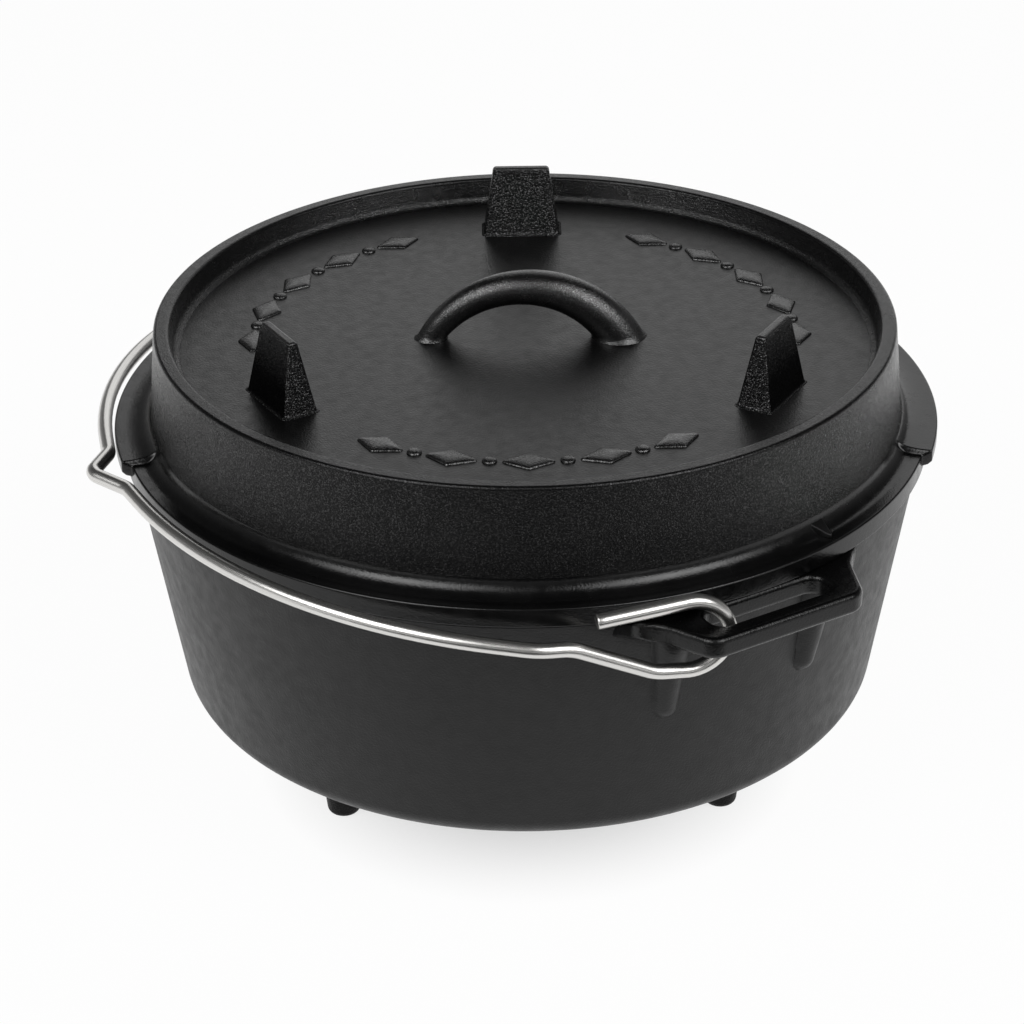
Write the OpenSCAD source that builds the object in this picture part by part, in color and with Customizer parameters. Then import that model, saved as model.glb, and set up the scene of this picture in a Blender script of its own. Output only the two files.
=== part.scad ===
// Camp dutch oven: a footed cast-iron pot, a rimmed lid that turns over on its own legs, and a wire bail.
// Millimetres. The origin is on the pot's axis at the ground, +Z is up and +X points to one of the two grips.

/* [Pot] */
// Outer radius of the pot at its rim
pot_r = 137; // [110:1:170]
// Outer radius of the pot at its base
pot_base_r = 122.5; // [100:0.5:160]
// Height of the pot from its base to its rim
pot_h = 90.8; // [70:0.1:150]
// Thickness of the pot's wall
wall_t = 5; // [3.5:0.1:7]
// Thickness of the pot's floor
floor_t = 5.5; // [4:0.1:9]
// Radius of the rounded edge round the base
base_round = 9; // [4:0.5:14]
// Radius of the rounded corner inside the pot
inner_round = 10; // [4:0.5:16]
// Radius of the edges of the rim
rim_round = 1.4; // [0.5:0.1:1.7]

/* [Feet] */
// Height of the feet, from the ground to the base
foot_h = 42.9; // [25:0.1:70]
// Distance from the pot's base edge in to the middle of a foot
foot_inset = 44.5; // [25:0.5:60]
// Diameter of a foot at the ground
foot_tip_d = 11.4; // [8:0.1:18]
// Diameter of a foot where it meets the base, without its fillet
foot_top_d = 20; // [14:0.1:30]
// Radius of the fillet between a foot and the base
foot_fillet = 5; // [1:0.5:10]
// Radius of the edge round a foot's tip
foot_round = 2.5; // [0.5:0.1:4]

/* [Grips] */
// Thickness of a grip
grip_t = 7.5; // [5:0.1:11]
// Metal left between the pot's rim and the slot of a grip
slot_gap = 1.8; // [1.5:0.1:8]
// Width of the slot, measured away from the pot
slot_w = 10.6; // [9.8:0.1:16]
// Length of the slot, measured along the pot's wall
slot_l = 45; // [42:0.5:60]
// Width of the bar outside the slot
bar_w = 7; // [5:0.1:12]
// Width of the two arms at the ends of the slot, at its middle
arm_w = 12; // [8:0.1:14]
// Angle at which the sides of a grip widen towards the wall
grip_flare = 24.5; // [10:0.5:35]
// Radius of the two outer corners of a grip
grip_round = 7; // [3:0.1:11]

/* [Ribs] */
// Length of the ribs that carry the grips' arms
rib_h = 35; // [20:0.5:50]
// Diameter of a rib at its top
rib_top_d = 14; // [8:0.5:18]
// Diameter of a rib at its foot
rib_foot_d = 8; // [5:0.5:12]

/* [Lid] */
// Gap between the pot's rim and the lid that sits on it
seat_gap = 0.3; // [0.1:0.1:0.6]
// How far the lid's brim reaches past the pot's rim
brim_over = 2.3; // [2:0.1:4]
// Thickness of the brim
brim_t = 6.6; // [4:0.1:8]
// Width of the brim outside the lid's wall
brim_w = 9; // [5:0.1:14]
// How much further the two side tabs of the brim reach
tab_over = 3.2; // [1:0.1:3.4]
// How much higher the tabs stand than the brim
tab_rise = 1.8; // [0.4:0.1:2.5]
// Angle that each tab spans
tab_angle = 47; // [20:1:60]
// Height of the lid from the brim's underside to its top rim
lid_h = 42.7; // [30:0.1:60]
// How far the lid's wall leans in from the brim to the top rim
lid_lean = 3.3; // [2:0.1:9]
// Thickness of the lid's wall
lid_wall_t = 5; // [4:0.1:8]
// Width of the top rim
lid_rim_w = 5.3; // [4:0.1:8]
// Depth of the tray inside the top rim
tray_depth = 8.9; // [4:0.1:14]
// How far the tray's wall leans in from its top to its floor
tray_lean = 1.2; // [0.4:0.1:3]
// Thickness of the lid's plate
plate_t = 5; // [4:0.1:8]
// Clearance round the lip that centres the lid in the pot
lip_clear = 0.8; // [0.4:0.1:1.5]
// How deep the lip reaches into the pot
lip_depth = 5; // [3:0.1:10]
// Thickness of the lip
lip_t = 4.5; // [3.5:0.1:7]
// Radius of the fillet between the brim and the lid's wall
brim_fillet = 6; // [1:0.5:6.5]
// Radius of the lid's small edges
edge_round = 1.3; // [0.5:0.1:1.6]
// Angle from the feet to the lid's legs, as the lid sits
lid_turn = -1.1; // [-30:0.1:30]

/* [Lid legs] */
// Height of the legs that the turned-over lid stands on
leg_h = 24.8; // [18:0.1:40]
// Distance from the top rim's inner edge in to the middle of a leg
leg_inset = 28.3; // [18:0.1:40]
// Width of a leg at the plate, along the rim
leg_base_w = 27.7; // [20:0.1:40]
// Width of a leg at its top, along the rim
leg_top_w = 20.4; // [12:0.1:30]
// Depth of a leg at the plate, across the rim
leg_base_d = 12.5; // [9:0.1:18]
// Depth of a leg at its top, across the rim
leg_top_d = 3.6; // [3:0.1:8]
// Radius of a leg's edges
leg_round = 1.2; // [0.5:0.1:1.4]

/* [Lid handle] */
// Diameter of the handle's bar
handle_d = 12; // [9:0.1:15]
// Distance between the middles of the handle's two ends
handle_span = 65; // [50:0.5:90]
// Height of the bar's middle line above the plate at the top of the arch
handle_rise = 18.5; // [17:0.1:32]

/* [Brim mark] */
// Angle from the handle's line to the raised mark on the brim
mark_angle = -44; // [-70:1:-20]
// Width of the mark at the lid's wall
mark_w = 7.5; // [4:0.1:12]
// Height of the mark above the brim
mark_h = 2.6; // [1:0.1:5]

/* [Bail] */
// Diameter of the bail's wire
wire_d = 5; // [4:0.1:6]
// Radius of the hook's bend round a grip's arm, at the middle of the wire
eye_r = 13.4; // [12.5:0.1:15]
// Clearance between the hook and the inner side of the slot
eye_clear = 1.1; // [0.8:0.1:1.5]
// Length of the hook's free end past the arm's middle
hook_l = 31; // [22:0.5:36]
// Height of the free end's tip above the hook's middle
hook_tip = 6; // [5:0.1:12]
// Angle that the hooks lean in towards the pot
hook_lean = 5; // [1:0.5:6]
// Distance from the arm's middle to the bail's shoulder bend
shoulder_l = 49; // [46:0.5:60]
// Clearance between the bail's arc and the lid's tabs
bail_clear = 0.6; // [0.4:0.1:4]
// Height of the hanging kink in the middle of the bail
kink_h = 9; // [5:0.5:14]
// Width of the hanging kink
kink_w = 26; // [20:1:40]
// Angle of the folded bail above the ground's plane
fold_angle = 5.3; // [5:0.1:12]

/* [Hidden] */
$fn = 96;

iron = "#2f2f31";
steel = "#c6c6c2";

// Pot
rim_z = foot_h + pot_h;
wall_slope = (pot_r - pot_base_r) / pot_h;
function wall_r(z) = pot_base_r + (z - foot_h) * wall_slope;

// Feet and lid legs stand in threes
foot_ring_r = pot_base_r - foot_inset;
three = 120;
foot_start = 30;
// How far a foot's fillet spreads on the base
foot_skirt = foot_fillet * 1.2;

// Grips: distances from the pot's axis
slot_in = pot_r + slot_gap;
slot_out = slot_in + slot_w;
grip_edge = slot_out + bar_w;
slot_mid = (slot_in + slot_out) / 2;
slot_round = slot_w * 0.4;
arm_y = slot_l / 2 + arm_w / 2;
function grip_side(x) = slot_l / 2 + arm_w + (slot_mid - x) * tan(grip_flare);
// How deep a grip's outline starts inside the pot's wall, and a rib's middle line lies under it
grip_root = 10;
rib_sink = 1;
rib_end_round = rib_foot_d / 3;
grip_z = rim_z - grip_t;

// Lid: radii and heights
seat_z = rim_z + seat_gap;
brim_r = pot_r + brim_over;
brim_z = seat_z + brim_t;
tab_r = brim_r + tab_over;
tab_z = brim_z + tab_rise;
lid_base_r = brim_r - brim_w;
lid_rim_r = lid_base_r - lid_lean;
brim_cove = min(brim_fillet, brim_w - 2 * edge_round);
lid_rim_z = seat_z + lid_h;
rim_in_r = lid_rim_r - lid_rim_w;
plate_z = lid_rim_z - tray_depth;
tray_r = rim_in_r - tray_lean;
hollow_r = lid_base_r - lid_lean * (plate_z - plate_t - brim_z) / (lid_rim_z - brim_z) - lid_wall_t;
lip_r = pot_r - wall_t - lip_clear;
lip_in_r = lip_r - lip_t;
lip_z = seat_z - lip_depth;
lid_angle = 2 * foot_start + lid_turn;
leg_ring_r = rim_in_r - leg_inset;
tab_start = -17;
// Distance from the brim's edge in to the tip of the mark on it
mark_inset = edge_round + 0.4;

// Handle: its bar is an arc that starts and ends at the plate
handle_r = (pow(handle_span / 2, 2) + pow(handle_rise, 2)) / (2 * handle_rise);

// Bail: its swing axis runs through one arm of each grip, corner to corner, so that the pot hangs level
eye_x = slot_in + wire_d / 2 + eye_clear;
eye_z = grip_z + grip_t / 2;
eye_u = norm([eye_x, arm_y]);
axis_turn = atan2(arm_y, eye_x);
arc_drop = 3;
bail_top = norm([tab_r, tab_z - eye_z]) + wire_d / 2 + bail_clear;
joggle_l = [38, 10];
shoulder_round = 25;
joggle_round = 18;
kink_tip_round = 5;
kink_base_round = 8;
// The wire is swept as rings, with this many sides, at most this far and this turn apart
ring_sides = 14;
ring_step = 9;
ring_angle = 12;
// How far the shoulder and the kink's ends stand outside the arc, which leaves room for their bends
shoulder_proud = 0.6;
kink_proud = 0.4;
// A point of the hook in the bail's own frame: w runs away from the arm, n stands off the bail's plane
function hook_point(w, n) = [eye_u - w * sin(hook_lean), -w * cos(hook_lean), n];
shoulder = hook_point(shoulder_l, -arc_drop);
arc_side = [shoulder.x - shoulder_proud, bail_top + shoulder.y];
arc_r = (arc_side * arc_side) / (2 * arc_side.y);
arc_mid = bail_top - arc_r;
function arc_angle(u, v) = atan2(u, v - arc_mid);
function arc_reach(u, v) = acos(arc_r / norm([u, v - arc_mid]));
kink_u = kink_w / 2;
kink_v = arc_mid + sqrt(pow(arc_r + kink_proud, 2) - pow(kink_u, 2));
arc_start = arc_angle(kink_u, kink_v) + arc_reach(kink_u, kink_v);
arc_end = arc_angle(shoulder.x, -shoulder.y) - arc_reach(shoulder.x, -shoulder.y);
corner_r = arc_r / cos((arc_end - arc_start) / 2);
corner_angle = (arc_start + arc_end) / 2;
drop_rate = -arc_drop / shoulder.x;
// Half of the bail from the kink's tip to the end of its hook, as corners with their bend radii
half_bail = [
    [[0, -bail_top - kink_h, 0], kink_tip_round],
    [[kink_u, -kink_v, drop_rate * kink_u], kink_base_round],
    [[corner_r * sin(corner_angle), -arc_mid - corner_r * cos(corner_angle),
      drop_rate * corner_r * sin(corner_angle)], arc_r],
    [shoulder, shoulder_round],
    [hook_point(joggle_l[0], -arc_drop), joggle_round],
    [hook_point(joggle_l[1], -eye_r), joggle_round],
    [hook_point(-eye_r, -eye_r), eye_r],
    [hook_point(-eye_r, eye_r), eye_r],
    [hook_point(hook_l, hook_tip), 0]
];
// The other half is the same, turned half a turn about the line from the axis to the kink
function turned(p) = [-p.x, p.y, -p.z];
bail_path = concat(
    [for (i = [len(half_bail) - 1 : -1 : 1]) [turned(half_bail[i][0]), half_bail[i][1]]],
    half_bail
);

// Helpers

function unit(v) = v / norm(v);
function turn_at(a, p, b) = 180 - acos(unit(a - p) * unit(b - p));
function cut_back(a, p, b, r) = r * tan(turn_at(a, p, b) / 2);

// Points of a round corner at p, between its neighbours a and b
function corner_arc(a, p, b, r, steps = 8) =
    let (
        u = unit(a - p),
        w = unit(b - p),
        turn = turn_at(a, p, b),
        mid = p + unit(u + w) * r / cos(turn / 2),
        from = p + u * cut_back(a, p, b, r) - mid,
        side = cross([from.x, from.y, 0], [-u.x, -u.y, 0]).z > 0 ? 1 : -1
    )
    [for (i = [0 : steps])
        let (t = side * turn * i / steps)
        mid + [from.x * cos(t) - from.y * sin(t), from.x * sin(t) + from.y * cos(t)]];

// An outline from corners [x, y, radius], with the round ones turned into arcs
function rounded(c) = [
    for (i = [0 : len(c) - 1])
        let (
            a = c[(i + len(c) - 1) % len(c)],
            p = c[i],
            b = c[(i + 1) % len(c)]
        )
        each p.z > 0 ? corner_arc([a.x, a.y], [p.x, p.y], [b.x, b.y], p.z) : [[p.x, p.y]]
];

// Points along a bend of the wire at p, between its neighbours a and b
function bend_points(a, p, b, r) =
    let (
        u = unit(a - p),
        turn = turn_at(a, p, b),
        mid = p + unit(u + unit(b - p)) * r / cos(turn / 2),
        x = unit(p + u * cut_back(a, p, b, r) - mid),
        steps = ceil(max(turn / ring_angle, turn * PI / 180 * r / ring_step))
    )
    [for (i = [0 : steps])
        let (t = turn * i / steps)
        mid + r * (x * cos(t) - u * sin(t))];

// The wire's middle line from corners [point, bend radius]
function wire_line(path) =
    let (n = len(path) - 1)
    concat(
        [path[0][0]],
        [for (i = [1 : n - 1])
            each bend_points(path[i - 1][0], path[i][0], path[i + 1][0], path[i][1])],
        [path[n][0]]
    );

// Direction of the line at a point, and a side vector that is carried along it without twist
function way(line, i) = unit(line[min(i + 1, len(line) - 1)] - line[max(i - 1, 0)]);
function square_to(s, t) = unit(s - t * (s * t));
function sides_along(line, first) = [
    for (i = 0, s = square_to(first, way(line, 0));
        i < len(line);
        i = i + 1, s = i < len(line) ? square_to(s, way(line, i)) : s)
        s
];

// A round wire swept along a line of points
module wire(line, d, first_side) {
    n = len(line);
    m = ring_sides;
    sides = sides_along(line, first_side);
    points = [
        for (i = [0 : n - 1], j = [0 : m - 1])
            let (s = sides[i], t = way(line, i), a = 360 * j / m)
            line[i] + d / 2 * (s * cos(a) + cross(t, s) * sin(a))
    ];
    skin = [
        for (i = [0 : n - 2], j = [0 : m - 1])
            let (a = i * m + j, b = i * m + (j + 1) % m)
            each [[a, a + m, b], [b, a + m, b + m]]
    ];
    start_cap = [for (j = [0 : m - 1]) j];
    end_cap = [for (j = [m - 1 : -1 : 0]) (n - 1) * m + j];
    polyhedron(points, concat(skin, [start_cap, end_cap]), convexity = 10);
}

// The pot's outside as a plain cone, which grips and ribs are cut to
module pot_outside() {
    translate([0, 0, foot_h])
        cylinder(h = pot_h, r1 = pot_base_r, r2 = pot_r, $fn = 360);
}

module lid_section() {
    polygon(rounded([
        [0, plate_z - plate_t, 0],
        [hollow_r, plate_z - plate_t, plate_t],
        [lip_in_r, lip_z, edge_round],
        [lip_r, lip_z, edge_round],
        [lip_r, seat_z, 0],
        [brim_r, seat_z, edge_round],
        [brim_r, brim_z, edge_round],
        [lid_base_r, brim_z, brim_cove],
        [lid_rim_r, lid_rim_z, edge_round],
        [rim_in_r, lid_rim_z, edge_round],
        [tray_r, plate_z, edge_round],
        [0, plate_z, 0]
    ]));
}

// Sub-parts

module pot_body() {
    color(iron)
        rotate_extrude()
            polygon(rounded([
                [0, foot_h, 0],
                [pot_base_r, foot_h, base_round],
                [pot_r, rim_z, rim_round],
                [pot_r - wall_t, rim_z, rim_round],
                [wall_r(foot_h + floor_t) - wall_t, foot_h + floor_t, inner_round],
                [0, foot_h + floor_t, 0]
            ]));
}

module foot(i) {
    color(iron)
        rotate([0, 0, foot_start + three * (i - 1)])
            translate([foot_ring_r, 0, 0])
                rotate_extrude()
                    polygon(rounded([
                        [0, 0, 0],
                        [foot_tip_d / 2, 0, foot_round],
                        [foot_top_d / 2, foot_h - foot_fillet, foot_fillet],
                        [foot_top_d / 2 + foot_skirt, foot_h, 0],
                        [0, foot_h, 0]
                    ]));
}

module grip(i) {
    root_x = wall_r(grip_z) - grip_root;
    color(iron)
        rotate([0, 0, 180 * (i - 1)])
            difference() {
                translate([0, 0, grip_z])
                    linear_extrude(grip_t)
                        difference() {
                            polygon(rounded([
                                [root_x, -grip_side(root_x), 0],
                                [grip_edge, -grip_side(grip_edge), grip_round],
                                [grip_edge, grip_side(grip_edge), grip_round],
                                [root_x, grip_side(root_x), 0]
                            ]));
                            polygon(rounded([
                                [slot_in, -slot_l / 2, slot_round],
                                [slot_out, -slot_l / 2, slot_round],
                                [slot_out, slot_l / 2, slot_round],
                                [slot_in, slot_l / 2, slot_round]
                            ]));
                        }
                pot_outside();
            }
}

// Ribs 1 and 2 carry the first grip's arms, and ribs 3 and 4 the second grip's
module rib(i) {
    arm_angle = asin(arm_y / wall_r(grip_z));
    at = (i > 2 ? 180 : 0) + (i % 2 == 1 ? -arm_angle : arm_angle);
    foot_z = grip_z - rib_h;
    long_h = rib_h + rib_top_d;
    long_r = rib_foot_d / 2 + (rib_top_d - rib_foot_d) / 2 * long_h / rib_h;
    color(iron)
        rotate([0, 0, at])
            difference() {
                translate([wall_r(foot_z) - rib_sink, 0, foot_z])
                    rotate([0, atan(wall_slope), 0])
                        rotate_extrude()
                            polygon(rounded([
                                [0, 0, 0],
                                [rib_foot_d / 2, 0, rib_end_round],
                                [long_r, long_h, 0],
                                [0, long_h, 0]
                            ]));
                pot_outside();
                translate([0, -rib_top_d, grip_z])
                    cube([2 * pot_r, 2 * rib_top_d, 2 * rib_top_d]);
            }
}

module lid_body() {
    color(iron)
        rotate([0, 0, lid_angle])
            union() {
                rotate_extrude()
                    lid_section();
                for (start = [tab_start, 180 - tab_start - tab_angle])
                    rotate([0, 0, start])
                        rotate_extrude(angle = tab_angle)
                            polygon(rounded([
                                [lid_base_r - lid_wall_t / 2, seat_z, 0],
                                [tab_r, seat_z, edge_round],
                                [tab_r, tab_z, edge_round],
                                [lid_base_r - lid_wall_t / 2, tab_z, 0]
                            ]));
                rotate([0, 0, mark_angle])
                    translate([0, 0, brim_z - edge_round])
                        linear_extrude(edge_round + mark_h)
                            polygon([
                                [lid_base_r - lid_wall_t / 2, -mark_w / 2],
                                [brim_r - mark_inset, 0],
                                [lid_base_r - lid_wall_t / 2, mark_w / 2]
                            ]);
            }
}

// One side of a leg: narrower at the top, with round top corners
module leg_side(base, top) {
    polygon(rounded([
        [-base / 2, 0, 0],
        [base / 2, 0, 0],
        [top / 2, leg_h, leg_round],
        [-top / 2, leg_h, leg_round]
    ]));
}

module lid_leg(i) {
    color(iron)
        rotate([0, 0, lid_angle + 90 + three * (i - 1)])
            translate([leg_ring_r, 0, plate_z])
                intersection() {
                    rotate([90, 0, 0])
                        linear_extrude(leg_base_w * 2, center = true)
                            leg_side(leg_base_d, leg_top_d);
                    rotate([90, 0, 90])
                        linear_extrude(leg_base_d * 2, center = true)
                            leg_side(leg_base_w, leg_top_w);
                }
}

module lid_handle() {
    color(iron)
        rotate([0, 0, lid_angle])
            intersection() {
                translate([0, 0, plate_z + handle_rise - handle_r])
                    rotate([90, 0, 0])
                        rotate_extrude()
                            translate([handle_r, 0])
                                circle(d = handle_d);
                translate([-handle_span, -handle_d, plate_z])
                    cube([handle_span * 2, handle_d * 2, handle_rise + handle_d]);
            }
}

module bail() {
    color(steel)
        translate([0, 0, eye_z])
            rotate([0, 0, -axis_turn])
                rotate([-fold_angle, 0, 0])
                    wire(wire_line(bail_path), wire_d, [1, 0, 0]);
}

pot_body();
for (i = [1 : 3]) foot(i);
for (i = [1 : 2]) grip(i);
for (i = [1 : 4]) rib(i);
lid_body();
for (i = [1 : 3]) lid_leg(i);
lid_handle();
bail();
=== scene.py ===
import math

import bmesh
import bpy
from mathutils import Matrix, Vector


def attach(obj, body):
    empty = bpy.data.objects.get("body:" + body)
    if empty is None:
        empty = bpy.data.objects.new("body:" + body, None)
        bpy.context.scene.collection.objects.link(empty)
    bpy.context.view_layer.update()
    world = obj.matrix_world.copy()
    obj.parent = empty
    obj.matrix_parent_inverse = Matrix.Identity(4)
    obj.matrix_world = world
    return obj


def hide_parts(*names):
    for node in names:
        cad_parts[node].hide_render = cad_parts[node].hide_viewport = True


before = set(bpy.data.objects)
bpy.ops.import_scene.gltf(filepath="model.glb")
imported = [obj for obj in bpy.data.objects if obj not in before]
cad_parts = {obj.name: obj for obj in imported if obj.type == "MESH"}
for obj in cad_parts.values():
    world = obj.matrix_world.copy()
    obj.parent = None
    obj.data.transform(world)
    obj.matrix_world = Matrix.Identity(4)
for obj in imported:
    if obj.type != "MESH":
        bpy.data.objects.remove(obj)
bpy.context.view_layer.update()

# Lengths of the object are in millimetres and angles in degrees.
# The main sizes are those of the part's source.
MM = 0.001
THIRD = 120

# Pot and feet
POT_R, POT_BASE_R, POT_H, WALL_T, FLOOR_T = 137.0, 122.5, 90.8, 5.0, 5.5
BASE_ROUND, INNER_ROUND, RIM_ROUND = 9.0, 10.0, 1.4
FOOT_H, FOOT_RING_R, FOOT_TIP_D, FOOT_TOP_D = 42.9, 78.0, 11.4, 20.0
FOOT_FILLET, FOOT_ROUND, FOOT_SPREAD, FOOT_ANGLE = 5.0, 2.5, 6.0, 30
POT_SIDES, FOOT_SIDES = 240, 48
RIM_Z = FOOT_H + POT_H
POT_FLOOR_Z = FOOT_H + FLOOR_T
WALL_SLOPE = (POT_R - POT_BASE_R) / POT_H

# Grips, and the ribs below their arms
GRIP_T, GRIP_EDGE, GRIP_FLARE = 7.5, 156.4, 24.5
GRIP_ROUND, GRIP_EDGE_ROUND, GRIP_SINK, GRIP_TOP_FACING = 7.0, 2.0, 0.05, 0.8
LEAST_MITRE = 0.35
SLOT_IN, SLOT_OUT, SLOT_L, SLOT_ROUND = 138.8, 149.4, 45.0, 4.24
ARM_W, ROOT_Y, ROOT_BEND, ROOT_ROUND = 12.0, 52.0, 2.0, 14.0
GRIP_Z = RIM_Z - GRIP_T
ARM_Y = SLOT_L / 2 + ARM_W / 2
RIB_H, RIB_TOP_D, RIB_FOOT_D, RIB_SINK = 35.0, 14.0, 8.0, 1.0
RIB_BELOW, RIB_ABOVE, RIB_HALF_W, RIB_BACK = 4.0, 1.0, 11.0, 2.5
RIB_TOE, RIB_SKIN, RIB_BLEND = 0.8, -0.35, 2.4

# Lid: brim with tabs, wall, rim, tray, plate and lip
LID_ANGLE, LID_GAP, LID_H, LID_WALL_T, LID_SIDES = 58.9, 0.3, 42.7, 5.0, 300
SEAT_Z = RIM_Z + LID_GAP
LID_RIM_Z = SEAT_Z + LID_H
BRIM_R, BRIM_T, BRIM_EDGE_ROUND, BRIM_UNDER_ROUND, BRIM_FILLET = 139.3, 6.6, 0.7, 0.4, 6.0
BRIM_Z = SEAT_Z + BRIM_T
TAB_OVER, TAB_RISE, TAB_START, TAB_ANGLE, TAB_RAMP = 3.2, 1.8, -17.0, 47.0, 0.5
TAB_EDGE = ((2.4, 0.0), (3.0, 0.6), (4.4, 1.0))    # height above the seat, share of the tab's overhang
TAB_FROM_WALL, TAB_BLEND, TAB_TOLERANCE = 2.0, 4.0, 0.1
LID_BASE_R, LID_LEAN, RIM_W, EDGE_ROUND = 130.3, 3.3, 5.3, 1.3
LID_RIM_R = LID_BASE_R - LID_LEAN
RIM_IN_R = LID_RIM_R - RIM_W
TRAY_DEPTH, TRAY_LEAN, TRAY_FILLET, PLATE_T = 8.9, 1.2, 2.6, 5.0
PLATE_Z, TRAY_R = LID_RIM_Z - TRAY_DEPTH, RIM_IN_R - TRAY_LEAN
UNDER_Z = PLATE_Z - PLATE_T
HOLLOW_R = LID_BASE_R - LID_LEAN * (UNDER_Z - BRIM_Z) / (LID_RIM_Z - BRIM_Z) - LID_WALL_T
LIP_R, LIP_IN_R, LIP_H, LIP_FILLET = 131.2, 126.7, 5.0, 0.3
LIP_Z = SEAT_Z - LIP_H

# Mark on the brim
MARK_ANGLE, MARK_W, MARK_H, MARK_TIP_H = -44.9, 7.8, 3.6, 0.5
MARK_FROM_EDGE, MARK_IN_WALL, MARK_SINK = 1.2, 2.5, 1.3
MARK_ROUND, MARK_CORNER_R, MARK_TIP_R = 0.4, 0.2, 0.8

# Legs and handle on the lid
LEG_RING_R, LEG_H, LEG_FILLET, LEG_ROUND = 93.4, 24.8, 0.9, 1.2
LEG_BASE_W, LEG_TOP_W, LEG_BASE_D, LEG_TOP_D = 27.7, 20.4, 12.5, 3.6
LEG_CORNER_R, LEG_CORNER_MIN, LEG_ANGLE = 1.2, 0.3, 90
LEG_TOP_FACING, LEG_SIDE_FACING = 0.6, 0.7
LEG_HEIGHTS = [-1.0, 0.0, 0.1, 0.25, 0.5, 0.9, 1.5, 2.5, 5, 10, 15, 20, LEG_H - 2.5]
HANDLE_D, HANDLE_SPAN, HANDLE_RISE = 12.0, 65.0, 18.5
HANDLE_TAPER, HANDLE_FILLET, HANDLE_SINK = 1.9, 1.2, 3.5
HANDLE_END_ANGLE, HANDLE_FOOT_T = 9, 0.4

# Bands of bosses on the plate
LOZENGE_L, LOZENGE_W, LOZENGE_ROUND, LOZENGES = 19.0, 11.0, 1.0, 5
BEAD_D, BEAD_SIDES, BAND_PITCH, BAND_ANGLE = 5.0, 24, 25.0, 30
BOSS_RISE, BOSS_SINK, BOSS_CROWN, BOSS_RINGS = 1.3, 0.6, 0.8, 9

# Bail
WIRE_D, EYE_R, EYE_X = 5.0, 13.4, 142.4
EYE_Z = GRIP_Z + GRIP_T / 2
HOOK_L, HOOK_TIP, HOOK_LEAN, HOOK_BEND_R = 31.0, 6.0, 5.0, 18.0
HOOK_BEND_FAR, HOOK_BEND_NEAR = 38.0, 10.0
SHOULDER_L, SHOULDER_R, ARC_DROP, ARC_IN = 49.0, 25.0, 3.0, 0.6
KINK_H, KINK_W, KINK_R, KINK_FOOT_R, KINK_LIFT = 9.0, 26.0, 5.0, 8.0, 0.4
FOLD_ANGLE, BAIL_CLEAR, WIRE_STEP = 5.3, 0.6, 2.5
# Rows of the wire's cut: run from its end, step in from its side
WIRE_CUT = ((0.0, 0.5), (0.07, 0.25), (0.25, 0.07), (0.5, 0.0))

# Studio, in metres and in the photo's own axes
PHOTO_TURN = 58.35
FLOOR_HALF, FLOOR_TONE, FLOOR_ROUGH, FLOOR_GLOSS = 60, 0.95, 0.7, 0.1
FLOOR_LIFT, SHADOW_LIFT, SHADOW_IN, SHADOW_OUT = 0.96, 0.5, 0.04, 0.1
FLAG_X, FLAG_NEAR, FLAG_FAR, FLAG_Z = 0.55, -0.33, -6.0, 0.004
FLAG_TONE, FLAG_ROUGH = 0.005, 0.9
LAMP_AIM = (0, 0, 0.15)
FRONT_LAMP, FRONT_SIZE, FRONT_POWER, FRONT_SPREAD = (0, -1.08, 0.97), (1.3, 0.85), 2.1, 55
FRONT_TURNS = (("left_light", -41), ("right_light", 47))
BACK_LAMP, BACK_AIM, BACK_SIZE, BACK_POWER = (0.25, 1.5, 0.9), (0.25, 0, 0.15), (1.4, 1.5), 5.5
SKY_LOW, SKY_HIGH, SKY_TOP = 0.3, 0.05, 0.6
CAM_DISTANCE, CAM_HEIGHT, SENSOR = 0.93319, 0.60838, 36
CAM_PITCH, CAM_YAW, CAM_ROLL, LENS = 28.635, -0.3167, -0.6768, 105.10


# Materials

IRON_DARK, IRON_LIGHT = (0.001, 0.001, 0.0011), (0.0025, 0.0025, 0.0026)
STEEL_DARK, STEEL_LIGHT = (0.62, 0.61, 0.59), (0.78, 0.77, 0.75)
TONE_SCALE, GLOSS_SCALE, COARSE_SCALE, SAND, FINE_SAND = 45, 220, 500, 1500, 2600
COARSE_SHARE, GRAIN_DEPTH, SPECK_SCALE = 0.15, 0.0008, 0.8
TONE_RANGE, GLOSS_RANGE, SPECK_RANGE = (0.35, 0.65), (0.3, 0.7), (0.52, 0.68)
GLOSS_LESS, GLOSS_MORE = 0.05, 0.06
LINE_STRETCH, LINE_SCALE, LINE_RANGE, STEEL_ROUGH = (60, 6, 1), 4, (0.3, 0.7), (0.2, 0.34)


def node(tree, kind, **values):
    n = tree.nodes.new(kind)
    for key, value in values.items():
        setattr(n, key, value)
    return n


def noise(tree, coords, scale, detail):
    n = node(tree, "ShaderNodeTexNoise")
    n.inputs["Scale"].default_value = scale
    n.inputs["Detail"].default_value = detail
    tree.links.new(coords, n.inputs["Vector"])
    return n.outputs["Fac"]


def map_range(tree, value, low, high, to_low, to_high):
    n = node(tree, "ShaderNodeMapRange")
    sockets = ("From Min", "From Max", "To Min", "To Max")
    for key, number in zip(sockets, (low, high, to_low, to_high)):
        n.inputs[key].default_value = number
    tree.links.new(value, n.inputs["Value"])
    return n.outputs["Result"]


def mix_colours(tree, factor, dark, light):
    n = node(tree, "ShaderNodeMix", data_type="RGBA")
    n.inputs["A"].default_value = (*dark, 1)
    n.inputs["B"].default_value = (*light, 1)
    tree.links.new(factor, n.inputs["Factor"])
    return n.outputs["Result"]


def new_material(name):
    m = bpy.data.materials.new(name)
    m.use_nodes = True
    return m, m.node_tree, m.node_tree.nodes["Principled BSDF"]


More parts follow.
